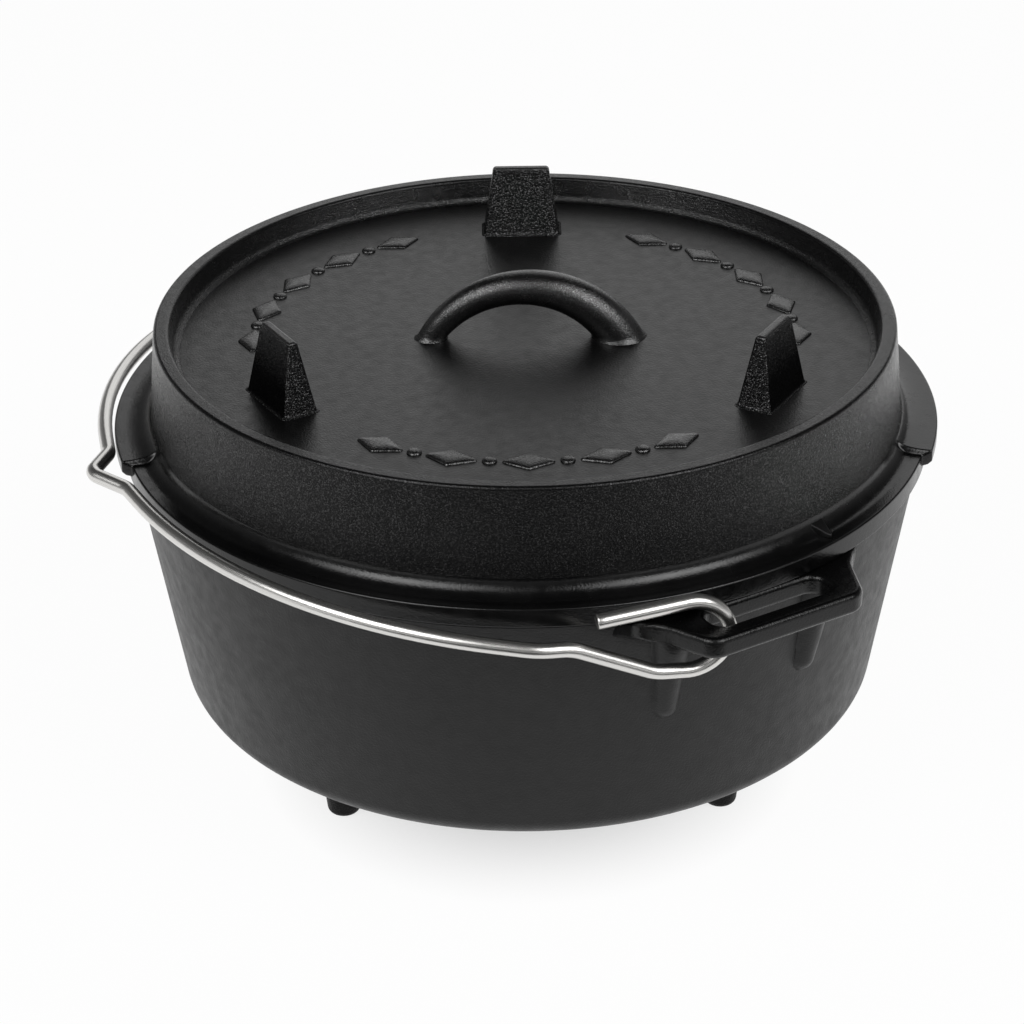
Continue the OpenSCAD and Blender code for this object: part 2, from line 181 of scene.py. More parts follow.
def iron(name, grain, rough, specular=0.4, specks=0.0, sand=SAND):
    """Seasoned cast iron: fine sand, a slow change of tone and gloss, and bright specks if asked for."""
    m, t, bsdf = new_material(name)
    coords = node(t, "ShaderNodeTexCoord").outputs["Object"]
    tone = map_range(t, noise(t, coords, TONE_SCALE, 4), *TONE_RANGE, 0, 1)
    t.links.new(mix_colours(t, tone, IRON_DARK, IRON_LIGHT), bsdf.inputs["Base Color"])
    slow = noise(t, coords, GLOSS_SCALE, 3)
    gloss = map_range(t, slow, *GLOSS_RANGE, rough - GLOSS_LESS, rough + GLOSS_MORE)
    t.links.new(gloss, bsdf.inputs["Roughness"])
    fine = noise(t, coords, sand, 1)
    coarse = noise(t, coords, COARSE_SCALE, 2)
    both = node(t, "ShaderNodeMath", operation="MULTIPLY_ADD")
    both.inputs[1].default_value = COARSE_SHARE
    t.links.new(coarse, both.inputs[0])
    t.links.new(fine, both.inputs[2])
    bump = node(t, "ShaderNodeBump")
    bump.inputs["Strength"].default_value = grain
    bump.inputs["Distance"].default_value = GRAIN_DEPTH
    t.links.new(both.outputs["Value"], bump.inputs["Height"])
    t.links.new(bump.outputs["Normal"], bsdf.inputs["Normal"])
    if specks:
        spots = noise(t, coords, SPECK_SCALE * sand, 0)
        bright = map_range(t, spots, *SPECK_RANGE, specular, specular + specks)
        t.links.new(bright, bsdf.inputs["Specular IOR Level"])
    else:
        bsdf.inputs["Specular IOR Level"].default_value = specular
    return m


def steel(name):
    """Bright drawn wire, with fine lines along its length."""
    m, t, bsdf = new_material(name)
    uv = node(t, "ShaderNodeUVMap", uv_map="along").outputs["UV"]
    stretch = node(t, "ShaderNodeMapping")
    stretch.inputs["Scale"].default_value = LINE_STRETCH
    t.links.new(uv, stretch.inputs["Vector"])
    lines = noise(t, stretch.outputs["Vector"], LINE_SCALE, 3)
    tone = map_range(t, lines, *LINE_RANGE, 0, 1)
    t.links.new(mix_colours(t, tone, STEEL_DARK, STEEL_LIGHT), bsdf.inputs["Base Color"])
    t.links.new(map_range(t, lines, *LINE_RANGE, *STEEL_ROUGH), bsdf.inputs["Roughness"])
    bsdf.inputs["Metallic"].default_value = 1.0
    return m


# Each iron: grain, roughness, specular level, specks and scale of the sand
WALL = iron("iron_wall", 0.18, 0.42, 0.35)
PLATE = iron("iron_plate", 0.16, 0.33, 0.38)
ROUGH = iron("iron_rough", 0.4, 0.22, 0.22, 0.5, FINE_SAND)
EDGE = iron("iron_edge", 0.2, 0.22, 0.24, 0.2, FINE_SAND)
TRAY = iron("iron_tray", 0.42, 0.24, 0.46, 0.7, FINE_SAND)
GRIP = iron("iron_grip", 0.12, 0.26, 0.33)
# The grips' flat tops: a duller, low-specular copy of the grip's iron, painted shade.
GRIP_TOP_SHADE = iron("iron_grip_top_painted_shade", 0.12, 0.26, 0.12)
# The pot's feet: a dull, low-specular iron, painted shade for the shadow under the pot.
FOOT = iron("iron_foot_painted_shade", 0.5, 0.5, 0.15)
LEG = iron("iron_leg", 0.5, 0.22, 0.13, 1.0, FINE_SAND)
# The legs' tops: a glossier copy of the leg's iron, a painted sheen.
LEG_TOP = iron("iron_leg_top_painted_sheen", 0.3, 0.3, 0.7, 0.3, FINE_SAND)
# The side of each leg that looks out: a duller, low-specular copy of the leg's iron, painted shade.
LEG_SIDE_SHADE = iron("iron_leg_side_painted_shade", 0.3, 0.22, 0.05, 0.25, FINE_SAND)
SMOOTH = iron("iron_smooth", 0.08, 0.22)
BAR = iron("iron_bar", 0.22, 0.24, 0.75, 0.6, FINE_SAND)
STEEL = steel("bright_wire")


# Mesh helpers

def make(name, body, node_name, points, faces, materials, picks=None, weighted=True):
    """A smooth mesh object from points in millimetres, riding on a body, in place of a CAD node
    if one is named."""
    mesh = bpy.data.meshes.new(name)
    mesh.from_pydata([tuple(c * MM for c in p) for p in points], [], faces)
    for material in materials:
        mesh.materials.append(material)
    for i, face in enumerate(mesh.polygons):
        face.use_smooth = True
        if picks:
            face.material_index = picks[i]
    bm = bmesh.new()
    bm.from_mesh(mesh)
    bmesh.ops.recalc_face_normals(bm, faces=bm.faces)
    bm.to_mesh(mesh)
    bm.free()
    obj = bpy.data.objects.new(name, mesh)
    bpy.context.scene.collection.objects.link(obj)
    if weighted:
        w = obj.modifiers.new("normals", "WEIGHTED_NORMAL")
        w.keep_sharp = True
    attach(obj, body)
    if node_name:
        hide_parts(node_name)
    return obj


def by_face(points, faces, pick):
    """The place of each face's material, from pick(normal, middle). The normal may point either way."""
    places = []
    for face in faces:
        ring = [Vector(points[k]) for k in face]
        middle = sum(ring, Vector()) / len(ring)
        normal = Vector()
        for a, b in zip(ring, ring[1:] + ring[:1]):
            normal += (a - middle).cross(b - middle)
        places.append(pick(normal.normalized(), middle))
    return places


def turn(points, degrees, centre=(0, 0, 0)):
    m = Matrix.Rotation(math.radians(degrees), 3, "Z")
    c = Vector(centre)
    return [tuple(m @ Vector(p) + c) for p in points]


def corner_arc(a, p, b, r, steps):
    """Points of a round corner at p, between its neighbours a and b (2D or 3D)."""
    a, p, b = Vector(a), Vector(p), Vector(b)
    u, w = (a - p).normalized(), (b - p).normalized()
    bend = math.pi - u.angle(w)
    if r <= 0 or bend < 1e-6:
        return [p]
    mid = p + (u + w).normalized() * (r / math.cos(bend / 2))
    x = (p + u * (r * math.tan(bend / 2)) - mid).normalized()
    return [mid + r * (x * math.cos(t) - u * math.sin(t))
            for t in (bend * i / steps for i in range(steps + 1))]


def rounded(corners, steps, closed=False):
    """A line through corners (point, radius), with round corners."""
    n = len(corners)
    out = []
    for i, (p, r) in enumerate(corners):
        if not closed and i in (0, n - 1):
            out.append(Vector(p))
        else:
            out += corner_arc(corners[i - 1][0], p, corners[(i + 1) % n][0], r, steps)
    return out


def lathe(profile, angles, shape=None):
    """Points, faces and each face's place in the profile, for a closed turned form.
    The profile is a list of (r, z) from the axis to the axis; shape(i, angle) gives (dr, dz)."""
    points, rows = [], []
    for i, (r, z) in enumerate(profile):
        if r < 1e-6:
            rows.append([len(points)] * len(angles))
            points.append((0, 0, z))
            continue
        row = []
        for a in angles:
            dr, dz = shape(i, a) if shape else (0, 0)
            row.append(len(points))
            t = math.radians(a)
            points.append(((r + dr) * math.cos(t), (r + dr) * math.sin(t), z + dz))
        rows.append(row)
    faces, places = [], []
    for i in range(len(profile) - 1):
        for j in range(len(angles)):
            k = (j + 1) % len(angles)
            face = [rows[i][j], rows[i][k], rows[i + 1][k], rows[i + 1][j]]
            face = [v for n, v in enumerate(face) if v not in face[:n]]
            if len(face) > 2:
                faces.append(face)
                places.append(i)
    return points, faces, places


def loft(rings):
    """Points and faces through closed rings of equal count, with flat ends."""
    n = len(rings[0])
    points = [tuple(p) for ring in rings for p in ring]
    faces = []
    for i in range(len(rings) - 1):
        for j in range(n):
            k = (j + 1) % n
            faces.append((i * n + j, i * n + k, (i + 1) * n + k, (i + 1) * n + j))
    faces.append(tuple(range(n - 1, -1, -1)))
    faces.append(tuple(range((len(rings) - 1) * n, len(rings) * n)))
    return points, faces


def spaced(count, extra=()):
    """Angles round a full turn, evenly spaced, with some more."""
    return sorted({round(360 * i / count, 4) for i in range(count)} | {round(a % 360, 4) for a in extra})


def smoothstep(t):
    t = min(1.0, max(0.0, t))
    return t * t * (3 - 2 * t)


def fillet(h, r):
    """How far a fillet of radius r spreads at a height h above the face it stands on."""
    return 0.0 if h >= r else r - math.sqrt(r * r - (r - max(h, 0.0)) ** 2)


def wall_r(z):
    """The radius of the pot's outside at a height."""
    return POT_BASE_R + (z - FOOT_H) * WALL_SLOPE


# Pot
pot_line = rounded([
    ((0, FOOT_H), 0), ((POT_BASE_R, FOOT_H), BASE_ROUND), ((POT_R, RIM_Z), RIM_ROUND),
    ((POT_R - WALL_T, RIM_Z), RIM_ROUND), ((wall_r(POT_FLOOR_Z) - WALL_T, POT_FLOOR_Z), INNER_ROUND),
    ((0, POT_FLOOR_Z), 0)
], 10)
points, faces, _ = lathe([tuple(p) for p in pot_line], spaced(POT_SIDES))
make("pot_shell", "pot", "pot_body", points, faces, [WALL])

foot_line = rounded([
    ((0, 0), 0), ((FOOT_TIP_D / 2, 0), FOOT_ROUND), ((FOOT_TOP_D / 2, FOOT_H - FOOT_FILLET), FOOT_FILLET),
    ((FOOT_TOP_D / 2 + FOOT_SPREAD, FOOT_H), 0), ((0, FOOT_H), 0)
], 8)
for i in range(3):
    a = math.radians(FOOT_ANGLE + THIRD * i)
    points, faces, _ = lathe([tuple(p) for p in foot_line], spaced(FOOT_SIDES))
    at = (FOOT_RING_R * math.cos(a), FOOT_RING_R * math.sin(a), 0)
    make(f"pot_foot_{i + 1}", "pot", f"foot_{i + 1}", turn(points, 0, at), faces, [FOOT])


# Grips: a flat plate with a slot and round edges
def inset(line, d):
    """The closed 2D line moved in by d, to the left of its run."""
    out = []
    n = len(line)
    for i in range(n):
        a, p, b = line[i - 1], line[i], line[(i + 1) % n]
        e = ((p - a).normalized() + (b - p).normalized()).normalized()
        left = Vector((-e.y, e.x))
        c = max(LEAST_MITRE, left.dot(Vector((-(p - a).y, (p - a).x)).normalized()))
        out.append(p + left * (d / c))
    return out


def plate(outer, hole, z0, z1, r, steps=5):
    """A flat plate with a hole, its edges round: rings of both lines, and filled flats."""
    points, faces = [], []
    ends = {}
    for line, sign in ((outer, 1), (hole, -1)):
        rings = []
        for s in range(steps + 1):
            t = math.pi / 2 * s / steps
            rings.append((inset(line, sign * r * (1 - math.sin(t))), z0 + r * (1 - math.cos(t))))
        rings += [(ring, z0 + z1 - z) for ring, z in reversed(rings)]
        start, n = len(points), len(line)
        for ring, z in rings:
            points += [(p.x, p.y, z) for p in ring]
        for i in range(len(rings) - 1):
            for j in range(n):
                k = (j + 1) % n
                faces.append((start + i * n + j, start + i * n + k,
                              start + (i + 1) * n + k, start + (i + 1) * n + j))
        last = start + (len(rings) - 1) * n
        ends[sign] = (list(range(start, start + n)), list(range(last, len(points))))
    for side in (0, 1):
        bm = bmesh.new()
        edges = []
        index = {}
        for sign in (1, -1):
            verts = []
            for v in ends[sign][side]:
                bv = bm.verts.new(points[v])
                index[bv] = v
                verts.append(bv)
            edges += [bm.edges.new((verts[i], verts[(i + 1) % len(verts)])) for i in range(len(verts))]
        filled = bmesh.ops.triangle_fill(bm, use_beauty=True, use_dissolve=False, edges=edges)
        for f in filled["geom"]:
            if isinstance(f, bmesh.types.BMFace):
                faces.append(tuple(index[v] for v in f.verts))
        bm.free()
    return points, faces


def grip_side(x):
    """Half the grip's width at a distance from the pot's axis."""
    slot_mid = (SLOT_IN + SLOT_OUT) / 2
    return SLOT_L / 2 + ARM_W + (slot_mid - x) * math.tan(math.radians(GRIP_FLARE))


def grip_face(normal, middle):
    """1 for the grip's flat top, which takes a duller copy of the iron as painted shade, and otherwise 0."""
    return int(abs(normal.z) > GRIP_TOP_FACING and middle.z > EYE_Z)


root_in = wall_r(GRIP_Z) - WALL_T / 2
root_x = math.sqrt(root_in ** 2 - ROOT_Y ** 2)
bend_x = POT_R + ROOT_BEND
grip_line = rounded([
    ((root_x, -ROOT_Y), 0), ((bend_x, -grip_side(bend_x)), ROOT_ROUND),
    ((GRIP_EDGE, -grip_side(GRIP_EDGE)), GRIP_ROUND), ((GRIP_EDGE, grip_side(GRIP_EDGE)), GRIP_ROUND),
    ((bend_x, grip_side(bend_x)), ROOT_ROUND), ((root_x, ROOT_Y), 0), ((root_in, 0), 0)
], 10, closed=True)
slot_line = rounded([
    ((SLOT_IN, -SLOT_L / 2), SLOT_ROUND), ((SLOT_OUT, -SLOT_L / 2), SLOT_ROUND),
    ((SLOT_OUT, SLOT_L / 2), SLOT_ROUND), ((SLOT_IN, SLOT_L / 2), SLOT_ROUND)
], 8, closed=True)
for i in range(2):
    points, faces = plate(grip_line, slot_line, GRIP_Z, RIM_Z - GRIP_SINK, GRIP_EDGE_ROUND)
    picks = by_face(points, faces, grip_face)
    make(f"pot_grip_{i + 1}", "pot", f"grip_{i + 1}", turn(points, 180 * i), faces,
         [GRIP, GRIP_TOP_SHADE], picks)


# Ribs under the grips' arms, run into the wall by a fillet
def soft_max(a, b, k):
    return max(a, b) + max(k - abs(a - b), 0) ** 2 / (4 * k)


def rib(rows=48, columns=32):
    """A closed half-round rib along the wall, with its middle line in the XZ plane."""
    foot_z = GRIP_Z - RIB_H
    front, back = [], []
    for i in range(rows + 1):
        z = foot_z - RIB_BELOW + (RIB_BELOW + RIB_H + RIB_ABOVE) * i / rows
        for j in range(columns + 1):
            t = RIB_HALF_W * (2 * j / columns - 1)
            up = (z - foot_z) / RIB_H
            r = RIB_FOOT_D / 2 + (RIB_TOP_D - RIB_FOOT_D) / 2 * max(0, up)
            dz = min(0.0, z - foot_z - r * RIB_TOE)
            s = r * r - t * t - dz * dz
            out = math.copysign(math.sqrt(abs(s)), s) - RIB_SINK
            base = math.sqrt(wall_r(z) ** 2 - t * t)
            front.append((base + soft_max(out, RIB_SKIN, RIB_BLEND), t, z))
            back.append((base - RIB_BACK, t, z))
    n = columns + 1
    off = len(front)
    faces = []
    for i in range(rows):
        for j in range(columns):
            q = (i * n + j, i * n + j + 1, (i + 1) * n + j + 1, (i + 1) * n + j)
            faces.append(q)
            faces.append(tuple(v + off for v in reversed(q)))
    for i in range(rows):
        for j in (0, columns):
            a, b = i * n + j, (i + 1) * n + j
            faces.append((a, b, b + off, a + off))
    for j in range(columns):
        for i in (0, rows):
            a, b = i * n + j, i * n + j + 1
            faces.append((a, b, b + off, a + off))
    return front + back, faces


arm_angle = math.degrees(math.asin(ARM_Y / wall_r(GRIP_Z)))
for i, at in enumerate((-arm_angle, arm_angle, 180 - arm_angle, 180 + arm_angle)):
    points, faces = rib()
    make(f"pot_rib_{i + 1}", "pot", f"rib_{i + 1}", turn(points, at), faces, [WALL])


# Lid: one turned form, whose brim is wider and higher along its two tabs
lid_corners = [
    ((0, UNDER_Z), 0, "under"), ((HOLLOW_R, UNDER_Z), PLATE_T, "under"),
    ((LIP_IN_R, LIP_Z), EDGE_ROUND, "under"), ((LIP_R, LIP_Z), EDGE_ROUND, "under"),
    ((LIP_R, SEAT_Z), LIP_FILLET, "under"), ((BRIM_R, SEAT_Z), BRIM_UNDER_ROUND, "brim"),
    *(((BRIM_R, SEAT_Z + h), 0, "brim") for h, share in TAB_EDGE),
    ((BRIM_R, BRIM_Z), BRIM_EDGE_ROUND, "brim"), ((LID_BASE_R, BRIM_Z), BRIM_FILLET, "wall"),
    ((LID_RIM_R, LID_RIM_Z), EDGE_ROUND, "rim"), ((RIM_IN_R, LID_RIM_Z), EDGE_ROUND, "rim"),
    ((TRAY_R, PLATE_Z), TRAY_FILLET, "tray"), ((0, PLATE_Z), 0, "plate")
]
lid_line, lid_zone = [], []
for i, (p, r, zone) in enumerate(lid_corners):
    arc = [Vector(p)]
    if r > 0:
        arc = corner_arc(lid_corners[i - 1][0], p, lid_corners[i + 1][0], r, 10)
    lid_line += [tuple(q) for q in arc]
    lid_zone += [zone] * len(arc)
tabs = [(TAB_START, TAB_START + TAB_ANGLE), (180 - TAB_START - TAB_ANGLE, 180 - TAB_START)]


def tab_weight(angle):
    """1 along the tabs and 0 elsewhere, with a short ramp at each end."""
    best = 0.0
    for start, end in tabs:
        mid, half = (start + end) / 2, (end - start) / 2
        off = abs((angle - mid + 180) % 360 - 180)
        best = max(best, smoothstep((half - off) / TAB_RAMP))
    return best


def lid_shape(i, angle):
    """How far a tab moves a point of the lid's outline out and up."""
    r, z = lid_line[i]
    if lid_zone[i] not in ("brim", "wall") or z > BRIM_Z + BRIM_FILLET:
        return 0, 0
    w = tab_weight(angle)
    if z < BRIM_Z - BRIM_EDGE_ROUND - TAB_TOLERANCE:
        share = max([share for h, share in TAB_EDGE if SEAT_Z + h < z + TAB_TOLERANCE], default=0)
        return TAB_OVER * w * share, 0
    out = smoothstep((r - LID_BASE_R - TAB_FROM_WALL) / TAB_BLEND)
    up = smoothstep((BRIM_Z + BRIM_FILLET - z) / BRIM_FILLET)
    return TAB_OVER * w * out, TAB_RISE * w * up


extra = [end + TAB_RAMP * k / 4 for tab in tabs for end in tab for k in range(-6, 7)]
points, faces, places = lathe(lid_line, spaced(LID_SIDES, extra), lid_shape)

# A zone's own faces, and the long faces from one zone to the next
lid_irons = [SMOOTH, ROUGH, PLATE, EDGE, TRAY]
zones = {"under": SMOOTH, "brim": SMOOTH, "wall": SMOOTH, "rim": EDGE, "tray": TRAY, "plate": PLATE}
strips = {("wall", "rim"): ROUGH, ("rim", "tray"): TRAY, ("tray", "plate"): PLATE}
picks = [lid_irons.index(strips.get((lid_zone[p], lid_zone[p + 1]), zones[lid_zone[p]])) for p in places]
make("lid_shell", "lid", "lid_body", turn(points, LID_ANGLE), faces, lid_irons, picks)


# The raised mark on the brim: a low wedge with round edges, which slopes down to its tip
def prism(outline, z0, z1, r, steps=4):
    rings = [[(p.x, p.y, z0) for p in outline]]
    for s in range(steps + 1):
        t = math.pi / 2 * s / steps
        z = z1 - r * (1 - math.sin(t))
        rings.append([(p.x, p.y, z) for p in inset(outline, r * (1 - math.cos(t)))])
    return loft(rings)


mark_tip, mark_root = BRIM_R - MARK_FROM_EDGE, LID_BASE_R - MARK_IN_WALL
mark_line = rounded([
    ((mark_root, -MARK_W / 2), MARK_CORNER_R), ((mark_tip, 0), MARK_TIP_R),
    ((mark_root, MARK_W / 2), MARK_CORNER_R)
], 4, closed=True)
mark_slope = (MARK_H - MARK_TIP_H) / (mark_tip - LID_BASE_R)
points, faces = prism(mark_line, BRIM_Z - MARK_SINK, BRIM_Z + MARK_H, MARK_ROUND)
points = [(x, y, z - mark_slope * (x - LID_BASE_R) if z > BRIM_Z else z) for x, y, z in points]
make("lid_mark", "lid", None, turn(points, LID_ANGLE + MARK_ANGLE), faces, [WALL])


# Legs of the turned-over lid: wedges that run into the plate by a fillet
def box_ring(half_x, half_y, r, z, steps=5):
    corners = ((half_x, -half_y), (half_x, half_y), (-half_x, half_y), (-half_x, -half_y))
    return [(p.x, p.y, z) for p in rounded([(c, r) for c in corners], steps, closed=True)]


def leg():
    rings = []
    top_heights = [LEG_H - LEG_ROUND * (1 - math.sin(math.pi / 2 * s / 6)) for s in range(7)]
    for z in LEG_HEIGHTS + top_heights:
        up = max(0, z) / LEG_H
        top = max(0.0, z - (LEG_H - LEG_ROUND))
        cut = LEG_ROUND - math.sqrt(max(0.0, LEG_ROUND ** 2 - top ** 2))
        grow = fillet(z, LEG_FILLET) - cut
        rings.append(box_ring((LEG_BASE_D + (LEG_TOP_D - LEG_BASE_D) * up) / 2 + grow,
                              (LEG_BASE_W + (LEG_TOP_W - LEG_BASE_W) * up) / 2 + grow,
                              max(LEG_CORNER_MIN, LEG_CORNER_R + grow), PLATE_Z + z))
    return loft(rings)


def leg_face(normal, middle):
    """1 for the leg's top, glossier as a painted sheen, 2 for the side that looks out, duller as painted
    shade, and otherwise 0.
    """
    if abs(normal.z) > LEG_TOP_FACING and middle.z > PLATE_Z + LEG_H / 2:
        return 1
    return 2 if abs(normal.x) > LEG_SIDE_FACING and middle.x > 0 else 0


for i in range(3):
    points, faces = leg()
    picks = by_face(points, faces, leg_face)
    points = turn([(x + LEG_RING_R, y, z) for x, y, z in points], LID_ANGLE + LEG_ANGLE + THIRD * i)
    make(f"lid_stand_{i + 1}", "lid", f"lid_leg_{i + 1}", points, faces,
         [LEG, LEG_TOP, LEG_SIDE_SHADE], picks)


# Handle: a round bar along an arc, thicker towards one end and spread where it meets the plate
def handle(steps=96, sides=32):
    radius = ((HANDLE_SPAN / 2) ** 2 + HANDLE_RISE ** 2) / (2 * HANDLE_RISE)
    mid_z = PLATE_Z + HANDLE_RISE - radius
    reach = math.acos((radius - HANDLE_RISE) / radius) + math.radians(HANDLE_END_ANGLE)
    rings = []
    for i in range(steps + 1):
        t = -reach + 2 * reach * i / steps
        centre = Vector((radius * math.sin(t), 0, mid_z + radius * math.cos(t)))
        out = Vector((math.sin(t), 0, math.cos(t)))
        ring = []
        for j in range(sides):
            b = 2 * math.pi * j / sides
            d = out * math.cos(b) + Vector((0, math.sin(b), 0))
            p = centre + d * (HANDLE_D / 2 + HANDLE_TAPER * t / reach)
            side = Vector((d.x, d.y, 0))
            p += side * (fillet(p.z - PLATE_Z, HANDLE_FILLET) if abs(t) > HANDLE_FOOT_T else 0)
            p.z = max(p.z, PLATE_Z - HANDLE_SINK)
            ring.append(tuple(p))
        rings.append(ring)
    return loft(rings)


points, faces = handle()
make("lid_grab", "lid", "lid_handle", turn(points, LID_ANGLE), faces, [BAR], weighted=False)


# Low bosses on the plate: a band of lozenges and beads between the legs
def boss(outline, rise):
    """A closed low boss over a 2D outline, round from its edge to its top."""
    rings = [[(p.x, p.y, PLATE_Z - BOSS_SINK) for p in outline]]
    middle = sum(outline, Vector((0, 0))) / len(outline)
    for s in range(BOSS_RINGS):
        t = math.pi / 2 * s / BOSS_RINGS
        z = PLATE_Z + rise * math.sin(t) ** BOSS_CROWN
        rings.append([(*(middle + (p - middle) * math.cos(t)), z) for p in outline])
    return loft(rings)


def band():
    """The bosses of one third of the band, as one set of points and faces."""
    points, faces = [], []
    half_l, half_w = LOZENGE_L / 2, LOZENGE_W / 2
    corners = ((0, -half_l), (half_w, 0), (0, half_l), (-half_w, 0))
    lozenge = rounded([(c, LOZENGE_ROUND) for c in corners], 5, closed=True)
    steps = [math.pi * k / (BEAD_SIDES / 2) for k in range(BEAD_SIDES)]
    bead = [Vector((BEAD_D / 2 * math.cos(t), BEAD_D / 2 * math.sin(t))) for t in steps]
    for i in range(2 * LOZENGES - 1):
        place, faces_of = boss(bead if i % 2 else lozenge, BOSS_RISE)
        at = (i - LOZENGES + 1) * BAND_PITCH / 2
        faces += [tuple(v + len(points) for v in f) for f in faces_of]
        points += turn([(x + LEG_RING_R, y, z) for x, y, z in place], math.degrees(at / LEG_RING_R))
    return points, faces


for i in range(3):
    points, faces = band()
    points = turn(points, LID_ANGLE + BAND_ANGLE + THIRD * i)
    make(f"lid_band_{i + 1}", "lid", None, points, faces, [BAR], weighted=False)


# Bail: one wire along the same line as the solid
def bail_line():
    eye_u = math.hypot(EYE_X, ARM_Y)
    lean = math.radians(HOOK_LEAN)

    def hook(w, n):
        return Vector((eye_u - w * math.sin(lean), -w * math.cos(lean), n))

    tab_r, tab_z = BRIM_R + TAB_OVER, BRIM_Z + TAB_RISE
    top = math.hypot(tab_r, tab_z - EYE_Z) + WIRE_D / 2 + BAIL_CLEAR
    shoulder = hook(SHOULDER_L, -ARC_DROP)
    side = Vector((shoulder.x - ARC_IN, top + shoulder.y))
    arc_r = side.length_squared / (2 * side.y)
    mid = top - arc_r

    def angle(u, v):
        return math.atan2(u, v - mid)

    def reach(u, v):
        return math.acos(arc_r / math.hypot(u, v - mid))

    kink_u = KINK_W / 2
    kink_v = mid + math.sqrt((arc_r + KINK_LIFT) ** 2 - kink_u ** 2)
    first = angle(kink_u, kink_v) + reach(kink_u, kink_v)
    last = angle(shoulder.x, -shoulder.y) - reach(shoulder.x, -shoulder.y)
    corner_r = arc_r / math.cos((last - first) / 2)
    at = (first + last) / 2
    drop = -ARC_DROP / shoulder.x
    corner = Vector((corner_r * math.sin(at), -mid - corner_r * math.cos(at), drop * corner_r * math.sin(at)))
    half = [
        (Vector((0, -top - KINK_H, 0)), KINK_R), (Vector((kink_u, -kink_v, drop * kink_u)), KINK_FOOT_R),
        (corner, arc_r), (shoulder, SHOULDER_R), (hook(HOOK_BEND_FAR, -ARC_DROP), HOOK_BEND_R),
        (hook(HOOK_BEND_NEAR, -EYE_R), HOOK_BEND_R), (hook(-EYE_R, -EYE_R), EYE_R),
        (hook(-EYE_R, EYE_R), EYE_R), (hook(HOOK_L, HOOK_TIP), 0)
    ]
    other = [(Vector((-p.x, p.y, -p.z)), r) for p, r in half[:0:-1]]
    folded = Matrix.Rotation(-math.radians(FOLD_ANGLE), 3, "X")
    turned = Matrix.Rotation(-math.atan2(ARM_Y, EYE_X), 3, "Z") @ folded
    return [turned @ p + Vector((0, 0, EYE_Z)) for p in rounded(other + half, 26)]


def wire(line, d, sides=28):
    """A round wire with slightly rounded cut ends, and the run of the wire at each of its rings."""
    dense = [line[0]]
    for a, b in zip(line, line[1:]):
        n = max(1, math.ceil((b - a).length / WIRE_STEP))
        dense += [a.lerp(b, k / n) for k in range(1, n + 1) if (b - a).length > 1e-4]
    line = dense
    last = len(line) - 1
    ways = [(line[min(i + 1, last)] - line[max(i - 1, 0)]).normalized() for i in range(len(line))]
    side = Vector((0, 0, 1))
    rings, along = [], []
    run = 0.0
    for i, (p, w) in enumerate(zip(line, ways)):
        side = (side - w * side.dot(w)).normalized()
        other = w.cross(side)
        run += (p - line[i - 1]).length if i else 0
        cuts = [(0.0, d / 2)]
        if i in (0, last):
            cuts = [(o, d / 2 - step) for o, step in WIRE_CUT]
            if i:
                cuts = [(-o, r) for o, r in reversed(cuts)]
        for o, r in cuts:
            rings.append([tuple(p + w * o + r * (side * math.cos(2 * math.pi * j / sides)
                                                 + other * math.sin(2 * math.pi * j / sides)))
                          for j in range(sides)])
            along.append(run)
    points, faces = loft(rings)
    return points, faces, along, sides


points, faces, along, sides = wire(bail_line(), WIRE_D)
bail = make("bail_wire", "bail", "bail", points, faces, [STEEL], weighted=False)
uv = bail.data.uv_layers.new(name="along")
for loop in bail.data.loops:
    row, column = divmod(loop.vertex_index, sides)
    uv.data[loop.index].uv = (column / sides, along[row] * MM)


# Floor, light and camera, placed in the photo's own axes and turned into the part's
def placed(x, y, z):
    return Matrix.Rotation(math.radians(PHOTO_TURN), 3, "Z") @ Vector((x, y, z))


def floor_material():
    """White, as in a white sweep. What the camera and shiny surfaces see of it is lifted, and less so below
    the object, where its shadow stays."""
    m, t, bsdf = new_material("floor_white")
    bsdf.inputs["Base Color"].default_value = (FLOOR_TONE, FLOOR_TONE, FLOOR_TONE, 1)
    bsdf.inputs["Roughness"].default_value = FLOOR_ROUGH
    bsdf.inputs["Specular IOR Level"].default_value = FLOOR_GLOSS
    glow = node(t, "ShaderNodeEmission")
    path = node(t, "ShaderNodeLightPath")
    seen = path.outputs["Is Camera Ray"]
    for ray in ("Is Glossy Ray", "Is Transmission Ray"):
        most = node(t, "ShaderNodeMath", operation="MAXIMUM")
        t.links.new(seen, most.inputs[0])
        t.links.new(path.outputs[ray], most.inputs[1])
        seen = most.outputs["Value"]
    reach = node(t, "ShaderNodeVectorMath", operation="LENGTH")
    t.links.new(node(t, "ShaderNodeNewGeometry").outputs["Position"], reach.inputs[0])
    near = map_range(t, reach.outputs["Value"], SHADOW_IN, SHADOW_OUT, SHADOW_LIFT, FLOOR_LIFT)
    amount = node(t, "ShaderNodeMath", operation="MULTIPLY")
    t.links.new(seen, amount.inputs[0])
    t.links.new(near, amount.inputs[1])
    mixed = node(t, "ShaderNodeMixShader")
    t.links.new(amount.outputs["Value"], mixed.inputs[0])
    t.links.new(bsdf.outputs["BSDF"], mixed.inputs[1])
    t.links.new(glow.outputs["Emission"], mixed.inputs[2])
    t.links.new(mixed.outputs["Shader"], t.nodes["Material Output"].inputs["Surface"])
    return m


def flag_material():
    """Black cloth."""
    m, _, bsdf = new_material("black_flag")
    bsdf.inputs["Base Color"].default_value = (FLAG_TONE, FLAG_TONE, FLAG_TONE, 1)
    bsdf.inputs["Roughness"].default_value = FLAG_ROUGH
    return m


def sheet(name, corners, material):
    """A flat sheet of the studio."""
    mesh = bpy.data.meshes.new(name)
    mesh.from_pydata(corners, [], [(0, 1, 2, 3)])
    mesh.materials.append(material)
    obj = bpy.data.objects.new(name, mesh)
    bpy.context.scene.collection.objects.link(obj)
    return obj


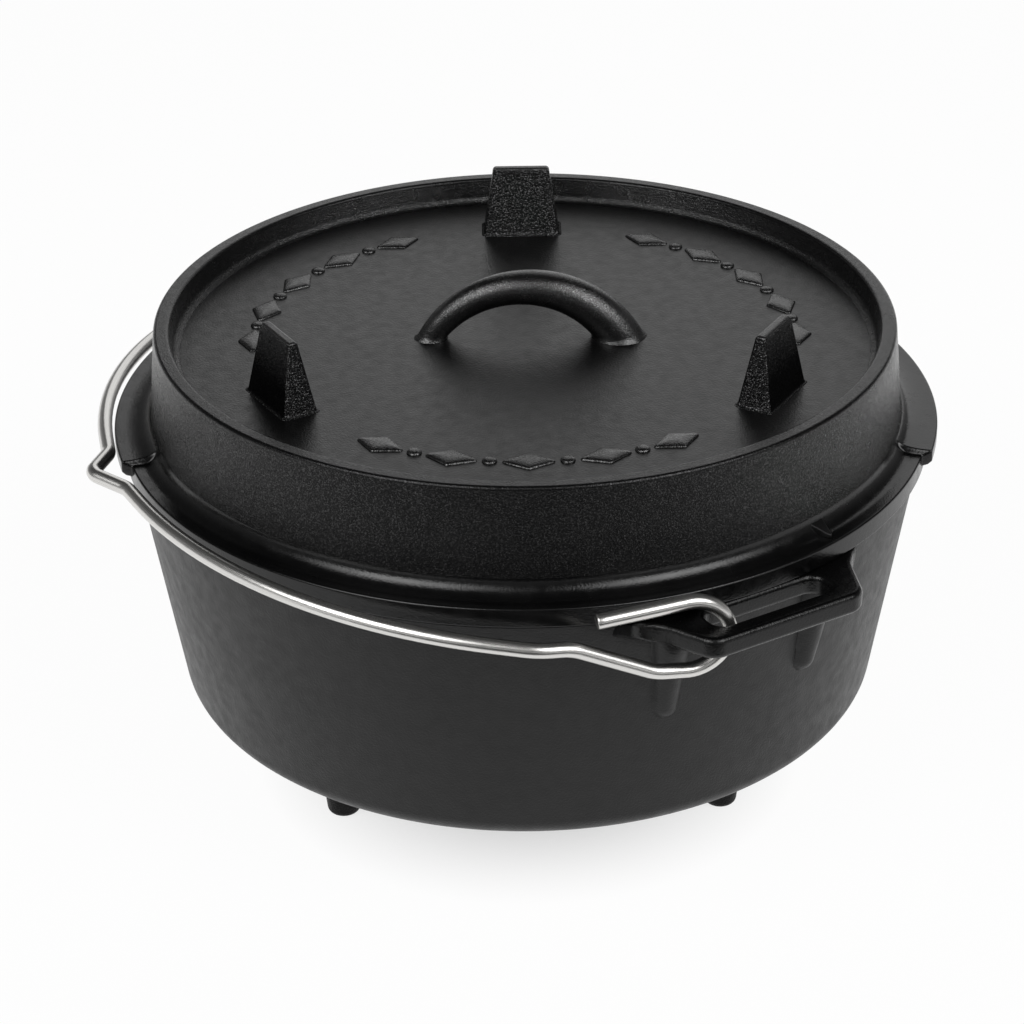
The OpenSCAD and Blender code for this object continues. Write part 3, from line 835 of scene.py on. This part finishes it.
def area_light(name, at, to, size, power, spread=180):
    lamp = bpy.data.lights.new(name, "AREA")
    lamp.shape = "RECTANGLE"
    lamp.size, lamp.size_y = size
    lamp.energy = power
    lamp.spread = math.radians(spread)
    obj = bpy.data.objects.new(name, lamp)
    obj.location = placed(*at)
    obj.rotation_euler = (placed(*to) - placed(*at)).to_track_quat("-Z", "Y").to_euler()
    obj.visible_camera = False
    bpy.context.scene.collection.objects.link(obj)


square = ((-1, -1), (1, -1), (1, 1), (-1, 1))
floor = sheet("floor", [(FLOOR_HALF * x, FLOOR_HALF * y, 0) for x, y in square], floor_material())

# A black flag on the floor in front, which only reflections see
flag_corners = ((-FLAG_X, FLAG_FAR), (FLAG_X, FLAG_FAR), (FLAG_X, FLAG_NEAR), (-FLAG_X, FLAG_NEAR))
flag = sheet("front_flag", [placed(x, y, FLAG_Z) for x, y in flag_corners], flag_material())
flag.visible_camera = flag.visible_diffuse = flag.visible_shadow = False

for name, turned in FRONT_TURNS:
    at = Matrix.Rotation(math.radians(turned), 3, "Z") @ Vector(FRONT_LAMP)
    area_light(name, at, LAMP_AIM, FRONT_SIZE, FRONT_POWER, FRONT_SPREAD)
area_light("back_light", BACK_LAMP, BACK_AIM, BACK_SIZE, BACK_POWER)

world = bpy.data.worlds.new("studio")
bpy.context.scene.world = world
world.use_nodes = True
tree = world.node_tree
height = node(tree, "ShaderNodeSeparateXYZ")
tree.links.new(node(tree, "ShaderNodeTexCoord").outputs["Generated"], height.inputs["Vector"])
sky = tree.nodes["Background"]
tree.links.new(map_range(tree, height.outputs["Z"], 0.0, SKY_TOP, SKY_LOW, SKY_HIGH), sky.inputs["Strength"])
sky.inputs["Color"].default_value = (1, 1, 1, 1)

pitch, yaw, roll = (math.radians(a) for a in (CAM_PITCH, CAM_YAW, CAM_ROLL))
ahead = Vector((math.sin(yaw) * math.cos(pitch), math.cos(yaw) * math.cos(pitch), -math.sin(pitch)))
right = ahead.cross(Vector((0, 0, 1))).normalized()
up = right.cross(ahead)
cam_x = math.cos(roll) * right + math.sin(roll) * up
cam_y = -math.sin(roll) * right + math.cos(roll) * up
camera_data = bpy.data.cameras.new("camera")
camera_data.sensor_width = SENSOR
camera_data.lens = LENS
camera = bpy.data.objects.new("camera", camera_data)
axes = Matrix((cam_x, cam_y, -ahead)).transposed().to_4x4()
axes.translation = Vector((0, -CAM_DISTANCE, CAM_HEIGHT))
camera.matrix_world = Matrix.Rotation(math.radians(PHOTO_TURN), 4, "Z") @ axes
bpy.context.scene.collection.objects.link(camera)
bpy.context.scene.camera = camera
bpy.context.scene.view_settings.view_transform = "Standard"
